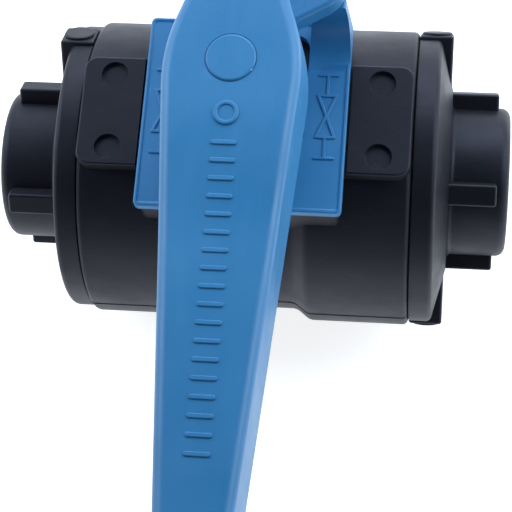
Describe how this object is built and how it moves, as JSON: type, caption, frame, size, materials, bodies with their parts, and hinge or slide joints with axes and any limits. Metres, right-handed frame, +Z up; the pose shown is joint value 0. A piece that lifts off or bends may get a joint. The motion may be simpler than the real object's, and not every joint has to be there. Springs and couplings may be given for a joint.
{
  "type": "lever operated ball valve",
  "caption": "Quarter-turn plastic ball valve with female threaded pipe ends, a position plate and a long lockable lever.",
  "frame": {"origin": "centre of the ball, where the pipe axis meets the stem axis", "axes": "+X along the pipe, +Z up the stem towards the lever, lever pointing to -Y when the valve is closed"},
  "size_m": [0.1018, 0.1348, 0.0862],
  "materials": {
    "black_nylon": "glass-filled nylon, moulded matte",
    "blue_plastic": "moulded satin",
    "plate_plastic": "moulded satin, a shade darker than the lever",
    "ball_nylon": "glass-filled nylon, machined smooth",
    "seat_ptfe": "white fluoropolymer",
    "seal_rubber": "black nitrile",
    "stainless": "stainless steel",
    "insert_brass": "turned brass"
  },
  "bodies": {
    "valve_body": {"body_casing": "black_nylon", "right_end_connector": "black_nylon", "left_end_connector": "black_nylon", "right_body_o_ring": "seal_rubber", "left_body_o_ring": "seal_rubber", "right_ball_seat": "seat_ptfe", "left_ball_seat": "seat_ptfe", "right_seat_o_ring": "seal_rubber", "left_seat_o_ring": "seal_rubber", "stem_thrust_washer": "seat_ptfe", "stem_bush": "seat_ptfe", "position_plate": "plate_plastic"},
    "lever_and_stem": {"stem": "ball_nylon", "stem_o_ring_lower": "seal_rubber", "stem_o_ring_upper": "seal_rubber", "stem_insert": "insert_brass", "lever": "blue_plastic", "lever_washer": "stainless", "lever_screw": "stainless", "screw_cap": "blue_plastic"},
    "ball": {"ball": "ball_nylon"}
  },
  "joints": [
    {"name": "lever_turn", "type": "hinge", "parent": "valve_body", "child": "lever_and_stem", "pos_m": [0, 0, 0], "axis": [0, 0, 1], "range_deg": [0, 90]},
    {"name": "ball_turn", "type": "hinge", "parent": "valve_body", "child": "ball", "pos_m": [0, 0, 0], "axis": [0, 0, 1], "range_deg": [0, 90]}
  ],
  "couplings": [
    {"joint": "ball_turn", "follows": "lever_turn", "ratio": 1}
  ]
}
